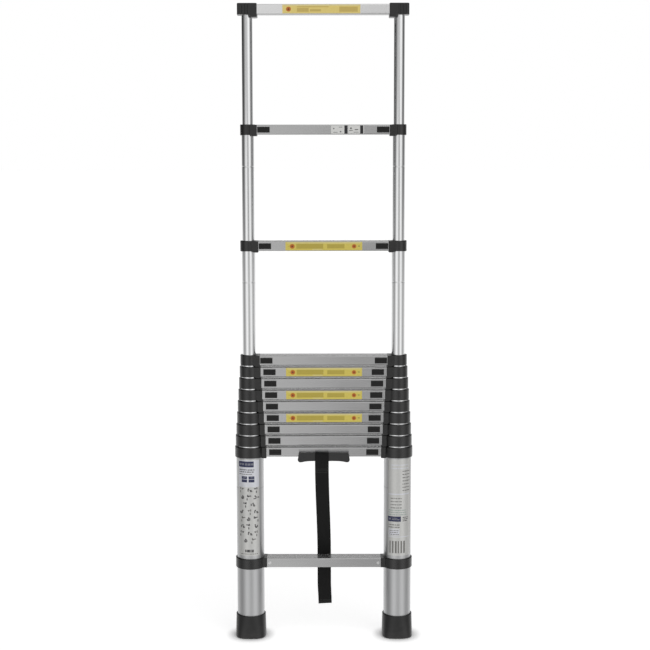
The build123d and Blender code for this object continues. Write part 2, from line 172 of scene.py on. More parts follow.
# Frequencies of the surface patterns along x, y and z, in cycles per metre.
TUBE_LINES = (1400, 1400, 5)
TUBE_CLOUDS = (22, 22, 9)
TUBE_MARKS = (60, 60, 420)
RUNG_LINES = (7, 1500, 1500)
RUNG_CLOUDS = (14, 60, 60)
RIVET_GRAIN = (1100, 400, 1100)
PIN_GRAIN = (2200, 60, 60)
WIRE_GRAIN = (900, 900, 900)
PLASTIC_DUST = (38, 38, 38)
RUBBER_GRAIN = (900, 900, 900)
RUBBER_DUST = (45, 45, 70)
WEBBING_FUZZ = (2500, 2500, 2500)
WEBBING_PATCHES = (60, 60, 25)
THREAD_TWIST = (3000, 3000, 3000)
FILM_MOTTLE = (240, 240, 240)
FILM_RUBBING = (30, 30, 55)

COOL = -0.004                 # aluminium is a little bluer than grey
EDGE_START = 0.998            # cosine of the turn at an edge where the pale edge band begins to show
EDGE_FULL = 0.90              # and where it is full
METAL_WEAR_AND_HIGHLIGHT = 0.0016           # width of the pale band along a rung's edge, partly wear and partly a painted highlight
PLASTIC_WEAR_AND_HIGHLIGHT = 0.0014
RUBBER_WEAR = 0.0015
PAINTED_SHADE_REACH = 0.003               # reach of the painted shade where two faces are close
WARP_PITCH = 0.0018
WEFT_PITCH = 0.0011
DUST_TOP = 0.06               # dust on the feet thins out up to this height


def drawn_tube(name, shade, rough):
    """Drawn aluminium: fine lines along the tube, a faint cloudiness and a few handling marks."""
    material, tree, surface = new_material(name)
    lines = noise(tree, TUBE_LINES, 4)
    clouds = noise(tree, TUBE_CLOUDS, 3)
    marks = noise(tree, TUBE_MARKS, 5, 0.7)
    worn = remap(tree, marks, 0.0, 1.0, 0.66, 0.80)
    tone = combine(tree, "ADD", remap(tree, lines, -0.05, 0.05), remap(tree, clouds, -0.03, 0.03))
    tone = remap(tree, tone, 0.0, 1.0, -0.08, 0.08)
    colour = mix(tree, tone, grey(shade * 0.93, COOL), grey(shade * 1.05, COOL))
    cloudy = remap(tree, clouds, rough - 0.04, rough + 0.05)
    roughness = combine(tree, "ADD", cloudy, remap(tree, worn, 0.0, 0.12))
    feed(tree, surface, Metallic=1.0, Base_Color=colour, Roughness=roughness,
         Normal=bump(tree, lines, 0.00004, 0.35))
    return material


def brushed_parts(tree, surface, shade):
    """Extruded aluminium brushed along the rung, paler on its edges with wear and a painted highlight, and
    darker underneath with painted shade.
    """
    lines = noise(tree, RUNG_LINES, 4)
    clouds = noise(tree, RUNG_CLOUDS, 3)
    worn = edges(tree, METAL_WEAR_AND_HIGHLIGHT)
    tone = combine(tree, "ADD", remap(tree, lines, -0.5, 0.5), remap(tree, clouds, -0.4, 0.4))
    tone = remap(tree, tone, 0.0, 1.0, -0.8, 0.8)
    body = mix(tree, tone, grey(shade * 0.90), grey(shade * 1.06))
    # Painted shade: faces that turn downwards get a darker colour, and their edges less of the pale edge
    # colour.
    upward = node(tree, "SeparateXYZ", {0: node(tree, "NewGeometry").outputs["Normal"]}).outputs["Z"]
    painted_underside_shade = mix(tree, remap(tree, upward, 1.0, 0.0, -0.95, -0.35), body, grey(shade * 0.35))
    # Painted highlight: the pale edge colour stands partly for wear and partly for the bright strips that
    # light puts on rounded edges.
    worn_and_highlit_edge = grey(min(shade * 1.6, 1.0))
    edge = mix(tree, remap(tree, upward, 0.45, 0.0, -0.6, -0.1), worn_and_highlit_edge, body)
    colour = mix(tree, worn, painted_underside_shade, edge)
    roughness = combine(tree, "SUBTRACT", remap(tree, clouds, 0.17, 0.24), remap(tree, worn, 0.0, 0.04))
    upright = node(tree, "CombineXYZ", {"X": 0.0, "Y": 0.0, "Z": 1.0}).outputs[0]
    feed(tree, surface, Metallic=1.0, Base_Color=colour, Roughness=roughness, Anisotropic=1.0,
         Tangent=upright, Normal=bump(tree, lines, 0.00005, 0.3))


def brushed_rung(name, shade):
    """Brushed aluminium with bright domed rivets standing off its faces."""
    material, tree, surface = new_material(name)
    brushed_parts(tree, surface, shade)
    rivet = node(tree, "BsdfPrincipled")
    turned = noise(tree, RIVET_GRAIN, 3)
    feed(tree, rivet, Metallic=1.0, Base_Color=mix(tree, turned, grey(0.72), grey(0.92)),
         Roughness=remap(tree, turned, 0.14, 0.26), Normal=bump(tree, turned, 0.00002, 0.4))
    split_finish(material, surface, rivet, "Y", RUNG_FACE + RIVET_RISE)
    return material


def top_section():
    """The top tubes and rung share a node, so the finish changes where the rung meets the tubes."""
    material, tree, tube = new_material("top_section_aluminium")
    rung = node(tree, "BsdfPrincipled")
    brushed_parts(tree, rung, 0.96)
    lines = noise(tree, TUBE_LINES, 4)
    clouds = noise(tree, TUBE_CLOUDS, 3)
    feed(tree, tube, Metallic=1.0, Base_Color=mix(tree, lines, grey(0.80, COOL), grey(0.88, COOL)),
         Roughness=remap(tree, clouds, 0.10, 0.17), Normal=bump(tree, lines, 0.00004, 0.35))
    split_finish(material, rung, tube, "X", TUBE_EDGE_X)
    return material


def moulded(name, shade, rough, grain=1500.0, depth=0.00005, wear=0.5, index=1.6):
    """Black moulded plastic with a fine grain, darkened with painted shade in crevices, and paler along its
    edges with scuffs and a painted highlight.
    """
    material, tree, surface = new_material(name)
    fine = noise(tree, (grain, grain, grain), 2)
    dust = noise(tree, PLASTIC_DUST, 4, 0.6)
    # The pale edge band is partly wear and partly a painted highlight.
    worn = edges(tree, PLASTIC_WEAR_AND_HIGHLIGHT, wear)
    body = mix(tree, remap(tree, dust, 0.0, 1.0, 0.35, 0.75), grey(shade), grey(shade * 1.45, 0.001))
    # Painted shade: ambient occlusion darkens the colour in crevices and flutes.
    open_air = node(tree, "AmbientOcclusion", {"Distance": PAINTED_SHADE_REACH}, samples=8).outputs["AO"]
    body = mix(tree, remap(tree, open_air, 0.9, 0.0, 0.35, 0.95), body, grey(shade * 0.25))
    colour = mix(tree, worn, body, grey(shade * 5.0))
    grained = remap(tree, fine, rough - 0.05, rough + 0.07)
    roughness = combine(tree, "ADD", grained, remap(tree, dust, -0.04, 0.05))
    feed(tree, surface, Base_Color=colour, Roughness=roughness, IOR=index,
         Normal=bump(tree, fine, depth, 0.5))
    return material


def latch_finish(section):
    """Moulded button and slider with a ground steel pin beyond them."""
    material = moulded(f"latch_plastic_{section:02d}", 0.0045, 0.34, 1900.0, 0.00003, 0.5, 1.42)
    tree = material.node_tree
    plastic = tree.nodes["Principled BSDF"]
    steel = node(tree, "BsdfPrincipled")
    turned = noise(tree, PIN_GRAIN, 3)
    feed(tree, steel, Metallic=1.0, Base_Color=mix(tree, turned, grey(0.48), grey(0.60)),
         Roughness=remap(tree, turned, 0.22, 0.34), Normal=bump(tree, turned, 0.00002, 0.4))
    rung_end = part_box(f"section_{section:02d}_rung")[1].x
    split_finish(material, plastic, steel, "X", rung_end - PIN_SET_BACK)
    return material


def foot_rubber():
    """Dull rubber, with pale dust that gathers towards the floor."""
    material, tree, surface = new_material("foot_rubber")
    fine = noise(tree, RUBBER_GRAIN, 3)
    patches = noise(tree, RUBBER_DUST, 5, 0.65)
    height = node(tree, "SeparateXYZ", {0: position(tree)}).outputs["Z"]
    low = remap(tree, height, 0.55, DUST_TOP, 0.0, 0.045)
    dusty = combine(tree, "MULTIPLY", low, remap(tree, patches, 0.0, 1.0, 0.35, 0.75))
    worn = edges(tree, RUBBER_WEAR, 0.35)
    body = mix(tree, dusty, grey(0.013), grey(0.060, 0.003))
    colour = mix(tree, worn, body, grey(0.06))
    feed(tree, surface, Base_Color=colour, Roughness=remap(tree, fine, 0.34, 0.46),
         Normal=bump(tree, fine, 0.00006, 0.5))
    return material


def cords(tree, uv, pitch, direction):
    """Bands across the strap's UV map, which is in metres."""
    values = {"Vector": uv, "Scale": 0.5 / pitch, "Distortion": 0.0}
    return node(tree, "TexWave", values, bands_direction=direction).outputs[1]


def webbing(name, shade):
    """Plain-woven webbing: warp cords along the strap and weft across it."""
    material, tree, surface = new_material(name)
    uv = node(tree, "UVMap", uv_map="weave").outputs[0]
    warp = remap(tree, cords(tree, uv, WARP_PITCH, "X"), 0.25, 1.0)
    weft = remap(tree, cords(tree, uv, WEFT_PITCH, "Y"), 0.45, 1.0)
    threads = combine(tree, "MULTIPLY", warp, weft)
    fuzz = noise(tree, WEBBING_FUZZ, 2)
    patches = noise(tree, WEBBING_PATCHES, 3)
    lit = combine(tree, "ADD", combine(tree, "MULTIPLY", threads, 0.7), remap(tree, patches, 0.0, 0.3))
    colour = mix(tree, lit, grey(shade * 0.45), grey(shade * 1.5))
    normal = bump(tree, threads, 0.00035, 0.8, bump(tree, fuzz, 0.00008, 0.4))
    feed(tree, surface, Base_Color=colour, Roughness=remap(tree, fuzz, 0.62, 0.85), Normal=normal,
         Specular_IOR_Level=0.22, Sheen_Weight=0.06, Sheen_Roughness=0.5)
    return material


def sewing_thread():
    """Black twisted thread."""
    material, tree, surface = new_material("sewing_thread")
    twist = noise(tree, THREAD_TWIST, 2)
    feed(tree, surface, Base_Color=mix(tree, twist, grey(0.03), grey(0.085)), Roughness=0.7,
         Normal=bump(tree, twist, 0.00008, 0.6), Sheen_Weight=0.2)
    return material


def printed(name, colour, rough=0.38, metallic=0.0):
    """Satin printed film, with slight mottling and rubbed patches."""
    material, tree, surface = new_material(name)
    mottle = noise(tree, FILM_MOTTLE, 4)
    rubbed = noise(tree, FILM_RUBBING, 4, 0.6)
    dull = tuple(0.88 * part for part in colour) + (1.0,)
    full = tuple(min(1.0, 1.05 * part) for part in colour) + (1.0,)
    feed(tree, surface, Base_Color=mix(tree, mottle, dull, full), Metallic=metallic,
         Roughness=remap(tree, rubbed, rough - 0.06, rough + 0.14),
         Normal=bump(tree, mottle, 0.00003, 0.3))
    return material


def spring_wire():
    """Drawn steel wire."""
    material, tree, surface = new_material("spring_steel")
    drawn = noise(tree, WIRE_GRAIN, 3)
    feed(tree, surface, Metallic=1.0, Base_Color=mix(tree, drawn, grey(0.42), grey(0.58)),
         Roughness=remap(tree, drawn, 0.24, 0.40), Normal=bump(tree, drawn, 0.00001, 0.4))
    return material


def finish_node(name, material):
    """Gives a CAD node one material in every slot."""
    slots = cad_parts[name].data.materials
    if not len(slots):
        slots.append(material)
    for index in range(len(slots)):
        slots[index] = material


def finish_cad():
    """Puts a finish on every CAD node that is seen.

    The numbers are shade and roughness, and for the grip also its grain, grain depth and the share of the
    pale edge band, which is wear and a painted highlight."""
    base_tube = drawn_tube("base_tube_aluminium", 0.57, 0.40)
    tube = drawn_tube("tube_aluminium", 0.84, 0.13)
    rung = brushed_rung("rung_aluminium", 0.60)
    collar = moulded("collar_plastic", 0.0095, 0.27)
    cap = moulded("cap_plastic", 0.0085, 0.33)
    grip = moulded("grip_plastic", 0.010, 0.40, 800.0, 0.00012, 0.25)
    finish_node("section_01_tubes", base_tube)
    for section in range(1, SECTIONS):
        name = f"section_{section:02d}"
        if section > 1:
            finish_node(f"{name}_tubes", tube)
        finish_node(f"{name}_rung", rung)
        finish_node(f"{name}_collars", collar)
        latch = latch_finish(section)
        for side in SIDES:
            finish_node(f"latch_{section:02d}_{side}", latch)
    finish_node(TOP_NODE, top_section())
    finish_node("section_12_top_caps", cap)
    finish_node("feet", foot_rubber())
    finish_node("carry_handle", grip)


# --- Mesh building ---

def mesh_object(name, mesh, materials, smooth=False):
    """A bmesh as an object of the scene; the bmesh is used up."""
    data = bpy.data.meshes.new(name)
    bmesh.ops.recalc_face_normals(mesh, faces=mesh.faces)
    mesh.to_mesh(data)
    mesh.free()
    for material in materials:
        data.materials.append(material)
    if smooth:
        data.polygons.foreach_set("use_smooth", [True] * len(data.polygons))
    made = bpy.data.objects.new(name, data)
    bpy.context.scene.collection.objects.link(made)
    return made


def add_slab(mesh, place, low, high, base, top, material=0, cell=0.003):
    """A closed slab over the rectangle low to high, bent onto a surface by place(u, v, height)."""
    columns = max(1, math.ceil((high[0] - low[0]) / cell))
    rings = []
    for index in range(columns + 1):
        u = low[0] + (high[0] - low[0]) * index / columns
        corners = ((low[1], base), (high[1], base), (high[1], top), (low[1], top))
        rings.append([mesh.verts.new(place(u, v, height)) for v, height in corners])
    faces = [mesh.faces.new(rings[0]), mesh.faces.new(rings[-1])]
    for near, far in zip(rings, rings[1:]):
        for i in range(4):
            j = (i + 1) % 4
            faces.append(mesh.faces.new((near[i], near[j], far[j], far[i])))
    for face in faces:
        face.material_index = material


def add_dot(mesh, place, centre, radius, base, top, material):
    """A flat round prism, bent onto a surface by place(u, v, height)."""
    rings = []
    for height in (base, top):
        ring = []
        for corner in range(DOT_SIDES):
            angle = 2 * math.pi * corner / DOT_SIDES
            u, v = centre[0] + radius * math.cos(angle), centre[1] + radius * math.sin(angle)
            ring.append(mesh.verts.new(place(u, v, height)))
        rings.append(ring)
    low, high = rings
    faces = [mesh.faces.new(low), mesh.faces.new(high)]
    for i in range(DOT_SIDES):
        faces.append(mesh.faces.new((low[i - 1], low[i], high[i], high[i - 1])))
    for face in faces:
        face.material_index = material


def sweep(mesh, path, across, twist, profile, uv_layer):
    """Sweeps a closed profile of (sideways, outward) points along a path in the YZ plane.

    across and twist give the sideways shift and the turn at a point; the UV map is in metres.
    Returns the path's length."""
    rings, distances = [], [0.0]
    for before, after in zip(path, path[1:]):
        distances.append(distances[-1] + (after - before).length)
    for index, point in enumerate(path):
        ahead = path[min(index + 1, len(path) - 1)] - path[max(index - 1, 0)]
        outward = Vector((0.0, ahead.z, -ahead.y)).normalized()
        turn = Matrix.Rotation(twist(point), 3, ahead)
        centre = point + Vector((across(point), 0, 0))
        offsets = [turn @ (Vector((side, 0, 0)) + outward * out) for side, out in profile]
        rings.append([mesh.verts.new(centre + offset) for offset in offsets])
    mesh.faces.new(rings[0])
    mesh.faces.new(rings[-1])
    for step, (near, far) in enumerate(zip(rings, rings[1:])):
        start, end = distances[step], distances[step + 1]
        for i in range(len(profile)):
            j = (i + 1) % len(profile)
            face = mesh.faces.new((near[i], near[j], far[j], far[i]))
            corners = ((i, start), (j, start), (j, end), (i, end))
            for loop, (corner, length) in zip(face.loops, corners):
                loop[uv_layer].uv = (profile[corner][0], length)
    return distances[-1]


# --- Labels, all of plain blocks, bars and dots ---

# Marks are in millimetres: a bar is (u0, v0, u1, v1, ink) and a dot is (u, v, radius, ink).
# An ink is its material's place in the label's list, where 0 is the film.
UNDER_INK = 1                 # printed first, under the others
OVER_INK = 4                  # a dot of this ink may stand on another dot
MARK_CELL = 3.0               # longest straight step of a bent mark, in millimetres

PALE, OLIVE, ORANGE, BROWN, GREEN = 1, 2, 3, 4, 5              # on the yellow strips
DARK, GREY = 1, 2                                              # on the small panels
PANEL, NAVY, LINE, SOFT, MARK, TEAL = 1, 2, 3, 4, 5, 6         # on the tube labels

STRIP_SECTIONS = (4, 6, 8, 10)
STRIP_START = -0.0985
STRIP_LOW, STRIP_HIGH = (0, -11), (199, 11)
STRIP_MARKS = [
    (3, 7.4, 196, 9.4, PALE),
    (28, -6.6, 98, 6.2, OLIVE), (108, -6.0, 153, 5.0, OLIVE),
    (70, -8.8, 96, -7.4, PALE), (84, -2.2, 98.5, 0.4, PALE), (128, -1.0, 150, 0.6, PALE),
    (17.5, -0.5, 6.2, ORANGE), (17.5, -0.5, 2.2, BROWN),
    (178, -0.5, 5.6, ORANGE), (178, -0.5, 2.0, BROWN),
    (6.5, -1.0, 10.5, 0.8, OLIVE), (188, -1.0, 193, 1.0, GREEN),
]

TOP_STRIP_START = -0.1038
TOP_STRIP_LOW, TOP_STRIP_HIGH = (0, -11), (198.5, 11)
TOP_STRIP_MARKS = [
    (2, 8.0, 196, 9.8, PALE),
    (15.5, -0.5, 6.2, ORANGE), (15.5, -0.5, 2.2, BROWN),
    (37, 4.2, 118, 6.6, OLIVE), (37, -7.4, 67, 2.6, OLIVE), (70, -6.4, 98, -0.6, OLIVE),
    (145, -7.4, 192, 5.6, OLIVE), (168, -1.6, 192, 0.6, PALE), (170, -5.6, 192, -4.2, PALE),
]

# Start along X, width, start of the dark bar, and marks.
SMALL_PANELS = [
    (20.0, 42.4, 34.2, [
        (6.8, 2.5, 1.9, GREY), (24.4, -5.4, 2.1, GREY),
        (20.0, 5.4, 29.0, 7.0, GREY), (5.0, -7.6, 17.0, -6.2, GREY)]),
    (63.7, 40.8, 31.0, [
        (7.4, 3.0, 2.6, GREY), (2.6, -3.6, 12.0, -1.8, GREY),
        (17.0, -1.4, 26.0, 1.0, GREY), (14.0, -7.4, 27.0, -6.0, GREY)]),
]
PANEL_BAR_WIDTH = 8.0
PANEL_BAR_HALF_HEIGHT = 10.4
PANEL_HALF_HEIGHT = 10.5

WORD_LENGTHS = (6.0, 3.5, 8.0, 2.6, 5.0)
WORD_GAP = 1.4
SHORTEST_WORD = 2

TABLE_LOW, TABLE_HIGH = (-34, 226), (28, 486)
TABLE_ROWS = 8
TABLE_TOP_ROW = 403.5
TABLE_ROW_PITCH = 19.5
TABLE_COLUMNS = (-23, -4, 16)
SHORT_ROW_COLUMNS = (-15, 8)
SHORT_ROWS = (2, 7)
CLUSTER_SIZE = 12.0

NOTICE_LOW, NOTICE_HIGH = (-30, 226), (40, 486)
UPRIGHT_BARS = 6


def rung_middle(section):
    """Height of a section's rung; the latches are centred on it."""
    if section == SECTIONS:
        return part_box("section_12_top_caps")[1].z - CAP_TO_RUNG
    low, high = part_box(f"latch_{section:02d}_right")
    return (low.z + high.z) / 2


def on_rung(section, start):
    """Label coordinates on a rung's front face, from its middle height and a start along X."""
    middle = rung_middle(section)
    return lambda u, v, height: Vector((start + u, -RUNG_FACE - height, middle + v))


def on_base_tube(side):
    """Label coordinates on a base tube: u round the arc from dead ahead, v above the floor."""
    low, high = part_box("section_01_tubes")
    radius = (high.y - low.y) / 2
    centre = side * (high.x - radius)

    def place(u, v, height):
        angle = u / radius
        reach = radius + height
        return Vector((centre + reach * math.sin(angle), -reach * math.cos(angle), v))
    return place


def label(name, body, place, low, high, marks, materials):
    """A film with printed marks. The extent and the marks are in millimetres."""
    def on_film(u, v, height):
        return place(u / 1000, v / 1000, height)

    mesh = bmesh.new()
    add_slab(mesh, on_film, low, high, 0.0, FILM, cell=MARK_CELL)
    for *shape, ink in marks:
        top = FILM + INK * (1 if ink == UNDER_INK else 2)
        if len(shape) == 3:
            add_dot(mesh, on_film, shape[:2], shape[2], FILM * 0.5, top + INK * (ink == OVER_INK), ink)
        else:
            add_slab(mesh, on_film, shape[:2], shape[2:], FILM * 0.5, top, ink, cell=MARK_CELL)
    made = mesh_object(name, mesh, materials)
    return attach(made, body)


def word_bars(start, end, top, lines, pitch, thick, ink, seed=0):
    """Lines of short bars of uneven length, standing in for small print."""
    bars = []
    for line in range(lines):
        u, index = start, seed + 3 * line
        high = top - pitch * line
        while u < end - SHORTEST_WORD:
            length = WORD_LENGTHS[index % len(WORD_LENGTHS)]
            bars.append((u, high - thick, min(u + length, end), high, ink))
            u += length + WORD_GAP
            index += 1
    return bars


def cluster(u, v, size, seed, ink):
    """A few small bars and a dot in an uneven group, standing in for a pictogram."""
    marks = [(u + size * (0.30 - 0.20 * (seed % 3)), v + size * 0.30, size * 0.17, ink)]
    for part in range(3):
        across = size * (((seed * 7 + part * 5) % 9) / 9 - 0.45)
        up = size * (((seed * 4 + part * 7) % 8) / 8 - 0.62)
        wide, tall = (0.46, 0.22) if (seed + part) % 2 else (0.22, 0.50)
        marks.append((u + across, v + up, u + across + size * wide, v + up + size * tall, ink))
    return marks


def yellow_strip(section, inks):
    """The strip on a section's rung: text-like blocks between two round marks."""
    return label(f"rung_strip_{section:02d}", f"section_{section:02d}", on_rung(section, STRIP_START),
                 STRIP_LOW, STRIP_HIGH, STRIP_MARKS, inks)


def top_strip(inks):
    """The strip on the top rung, with one round mark."""
    return label("rung_strip_12", "section_12", on_rung(SECTIONS, TOP_STRIP_START),
                 TOP_STRIP_LOW, TOP_STRIP_HIGH, TOP_STRIP_MARKS, inks)


def small_panels(inks):
    """Two white panels on the second rung from the top, each with a dark bar beside it."""
    for index, (start, width, bar, marks) in enumerate(SMALL_PANELS):
        tall = PANEL_BAR_HALF_HEIGHT
        rows = [(bar, -tall, bar + PANEL_BAR_WIDTH, tall, DARK), *marks]
        label(f"rung_panel_{index + 1}", "section_11", on_rung(11, start / 1000),
              (0, -PANEL_HALF_HEIGHT), (width, PANEL_HALF_HEIGHT), rows, inks)


def table_header():
    """A panel with a dark title block, two lines of words and two pairs of dark boxes."""
    rows = [(-33, 412, 27, 484, PANEL), (-32, 465.5, 11.5, 481, NAVY)]
    rows += [(-28.5 + 8.2 * word, 470.5, -22.5 + 8.2 * word, 476.0, LINE) for word in range(5)]
    rows += word_bars(-30, 13, 459.5, 2, 5.5, 2.4, MARK)
    rows += word_bars(-30, 6, 447.5, 1, 5.0, 1.8, SOFT, 2)
    for start in (-22, -2.5):
        rows += [(start, 433.6, start + 15.5, 441, NAVY), (start, 425, start + 15.5, 432.4, NAVY)]
        rows += [(start + 5, 427.5, start + 10.5, 429.2, LINE), (start + 4, 436.5, start + 12, 438.2, LINE)]
    return rows


def table_label(inks):
    """The tall film on the left base tube: a header over a table of small clusters."""
    rows = table_header()
    for line in range(TABLE_ROWS):
        height = TABLE_TOP_ROW - TABLE_ROW_PITCH * line
        columns = SHORT_ROW_COLUMNS if line in SHORT_ROWS else TABLE_COLUMNS
        for column, across in enumerate(columns):
            ink = MARK if (line + column) % 4 else SOFT
            rows += cluster(across, height, CLUSTER_SIZE, 3 * line + column, ink)
    rows += word_bars(-13, 10, 243, 1, 5, 7.0, MARK, 1)
    rows += word_bars(-26, 22, 232, 1, 5, 1.6, SOFT)
    return label("tube_label_left", BASE, on_base_tube(-1), TABLE_LOW, TABLE_HIGH, rows, inks)


def notice_label(inks):
    """The tall film on the right base tube: lines of words, a block and a row of upright bars."""
    rows = [(-27, 391, 34, 394, PANEL), (-27, 276, 34, 278, PANEL)]
    rows += [(-28.5, 230, -27.6, 482, SOFT), (37.6, 230, 38.6, 482, SOFT)]
    rows += word_bars(12, 36, 455, 7, 8.6, 2.4, SOFT, 1)
    rows += word_bars(-18, 30, 472, 2, 9.0, 2.6, PANEL)
    rows += word_bars(-20, 10, 382, 4, 8.4, 2.2, SOFT, 2)
    rows += word_bars(-26, 26, 350, 3, 6.0, 2.0, TEAL, 1)
    rows += [(-29, 318.5, 8, 332.5, NAVY), (-25, 323, -19, 328, LINE)]
    rows += [(-16, 323, 4, 325, LINE), (-16, 327, -2, 328.6, LINE)]
    rows += word_bars(13, 29, 330.5, 3, 4.6, 2.2, MARK)
    rows += word_bars(-26, 8, 311, 2, 6.4, 2.6, SOFT, 3)
    rows += [(-26, 281, 4, 298, PANEL)]
    rows += word_bars(-24, 3, 295, 3, 5.2, 1.8, SOFT, 2)
    for bar in range(UPRIGHT_BARS):
        start = -23 + 7.6 * bar
        rows.append((start, 233, -19.8 + 7.6 * bar + (bar % 3) * 0.8, 266, SOFT))
    return label("tube_label_right", BASE, on_base_tube(1), NOTICE_LOW, NOTICE_HIGH, rows, inks)


def add_labels():
    """Printed films on the rungs and on the base tubes."""
    yellow = printed("label_yellow", (0.80, 0.66, 0.13))
    pale_yellow = printed("label_pale_yellow", (0.86, 0.78, 0.40))
    olive = printed("label_olive", (0.58, 0.46, 0.075))
    orange = printed("label_orange", (0.62, 0.17, 0.02))
    brown = printed("label_brown", (0.16, 0.04, 0.01))
    green = printed("label_green", (0.22, 0.24, 0.07))
    for section in STRIP_SECTIONS:
        yellow_strip(section, [yellow, pale_yellow, olive, orange, brown, green])
    top_yellow = printed("label_top_yellow", (0.95, 0.76, 0.24))
    top_block = printed("label_top_block", (0.72, 0.54, 0.15))
    top_strip([top_yellow, pale_yellow, top_block, orange, brown])
    white = printed("label_white", (0.84, 0.84, 0.82))
    dark = printed("label_dark", (0.02, 0.02, 0.024))
    grey_mark = printed("label_grey_mark", (0.20, 0.20, 0.20))
    small_panels([white, dark, grey_mark])
    film = printed("label_film", (0.70, 0.70, 0.68), 0.33, 0.45)
    panel = printed("label_panel", (0.80, 0.81, 0.86), 0.33, 0.25)
    navy = printed("label_navy", (0.030, 0.036, 0.10))
    line = printed("label_line", (0.52, 0.53, 0.56))
    soft_mark = printed("label_soft_mark", (0.21, 0.205, 0.195))
    mark = printed("label_mark", (0.075, 0.072, 0.075))
    teal = printed("label_teal", (0.36, 0.46, 0.41))
    table_label([film, panel, navy, line, soft_mark, mark])
    notice_label([film, panel, navy, line, soft_mark, mark, teal])


# --- Carry strap ---

# Places on the route of the webbing's middle.
GRIP_BACK_Y = -0.0263         # behind the grip
TAIL_END = (-0.0292, 0.057)   # Y, and depth below the grip's top
TAIL_BEND = (-0.0337, 0.037)
LOOP_BACK_DROP = 0.0215       # where the loop turns, below the grip's top
LOOP_FRONT_DROP = 0.024
BEHIND_RUNG_RISE = 0.0138     # reaches the bottom rung's back this far above its middle
SURFACE_GAP = 0.0003          # keeps the webbing inside the CAD strap's box
BACK_GAP = 0.0002
END_GAP = 0.001
CORNER_REACH = 0.007
CORNER_STEPS = 6
LONGEST_STEP = 0.006
STRAP_SHIFTS = [(0.079, 0.0031), (0.140, 0.0010), (0.217, 0.0008), (0.470, -0.0050)]
STRAP_TWISTS = [(0.079, math.radians(-9)), (0.150, 0.0)]

TAIL_STITCH_HEIGHTS = (0.451, 0.456, 0.461)
HEM_STITCH_HEIGHTS = (0.0835, 0.0875)
STITCHES = 11
STITCH_PITCH = 0.0030
STITCH_HALF_LENGTH = 0.0011
STITCH_HALF_WIDTH = 0.0003
STITCH_RISE = 0.0003


def rounded_route(points, reach):
    """The route with each corner turned into a short curve that starts reach before it."""
    route = [points[0]]
    for before, corner, after in zip(points, points[1:], points[2:]):
        near = min(reach, (before - corner).length * 0.48)
        far = min(reach, (after - corner).length * 0.48)
        start = corner + (before - corner).normalized() * near
        end = corner + (after - corner).normalized() * far
        for step in range(CORNER_STEPS + 1):
            t = step / CORNER_STEPS
            route.append(start * (1 - t) ** 2 + corner * (2 * t * (1 - t)) + end * t ** 2)
    route.append(points[-1])
    return route


def divided(route, longest):
    """The route with its long runs cut into steps no longer than longest."""
    points = [route[0]]
    for before, after in zip(route, route[1:]):
        steps = max(1, math.ceil((after - before).length / longest))
        points += [before.lerp(after, step / steps) for step in range(1, steps + 1)]
    return points


def webbing_profile(half, thick, selvedge):
    """A flat band with a slightly thicker rounded selvedge along each side."""
    upper = [(-half, 0.0), (-half + 0.0004, selvedge * 0.40), (-half + 0.0012, selvedge * 0.50),
             (-half + 0.0026, selvedge * 0.50), (-half + 0.0034, thick * 0.5)]
    upper += [(half * share, thick * 0.5) for share in (-0.5, 0.0, 0.5)]
    upper += [(-side, out) for side, out in reversed(upper[:5])]
    return upper + [(side, -out) for side, out in reversed(upper[1:-1])]


def by_height(height, stops):
    """Eases between the values given at rising heights."""
    if height <= stops[0][0]:
        return stops[0][1]
    for (below, start), (above, end) in zip(stops, stops[1:]):
        if height <= above:
            share = (height - below) / (above - below)
            return start + (end - start) * share * share * (3 - 2 * share)
    return stops[-1][1]


def strap_shift(point):
    """The strap hangs a little to one side of the middle."""
    return by_height(point.z, STRAP_SHIFTS)


def strap_twist(point):
    """The free end turns slightly."""
    return by_height(point.z, STRAP_TWISTS)


def strap_corners():
    """The middle of the webbing: sewn tail, round the grip, behind the bottom rung, free end."""
    low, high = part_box("carry_strap")
    grip_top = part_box("carry_handle")[1].z
    rung_top = rung_middle(1) - RUNG_PITCH + BEHIND_RUNG_RISE
    top = high.z - STRAP_THICK / 2 - SURFACE_GAP
    front = low.y + STRAP_THICK / 2 + SURFACE_GAP
    behind = high.y - STRAP_THICK / 2 - BACK_GAP
    route = [
        (TAIL_END[0], grip_top - TAIL_END[1]), (TAIL_BEND[0], grip_top - TAIL_BEND[1]),
        (GRIP_BACK_Y, grip_top - LOOP_BACK_DROP), (GRIP_BACK_Y, top), (front, top),
        (front, grip_top - LOOP_FRONT_DROP), (behind, rung_top), (behind, low.z + END_GAP),
    ]
    return [Vector((0, y, z)) for y, z in route]


def add_stitch_row(mesh, upper, lower, height):
    """Stitches side by side across a straight run of the strap, at one height."""
    share = (upper.z - height) / (upper.z - lower.z)
    down = (lower - upper).normalized()
    outward = Vector((0, down.z, -down.y))
    middle = upper.lerp(lower, share)
    middle.x = strap_shift(middle)
    turn = Matrix.Rotation(strap_twist(middle), 3, down)

    def place(u, v, rise):
        return middle + turn @ (Vector((u, 0, 0)) + down * v + outward * rise)

    for stitch in range(STITCHES):
        side = (stitch - STITCHES // 2) * STITCH_PITCH
        add_slab(mesh, place, (side - STITCH_HALF_LENGTH, -STITCH_HALF_WIDTH),
                 (side + STITCH_HALF_LENGTH, STITCH_HALF_WIDTH),
                 STRAP_THICK * 0.3, STRAP_THICK / 2 + STITCH_RISE)


def add_stitches(corners):
    """Rows of stitches through the sewn tail and across the hem of the free end."""
    thread = sewing_thread()
    front, rung, end = corners[5:]
    mesh = bmesh.new()
    for height in TAIL_STITCH_HEIGHTS:
        add_stitch_row(mesh, front, rung, height)
    for height in HEM_STITCH_HEIGHTS:
        add_stitch_row(mesh, rung, end, height)
    made = mesh_object("strap_stitches", mesh, [thread])
    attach(made, BASE)


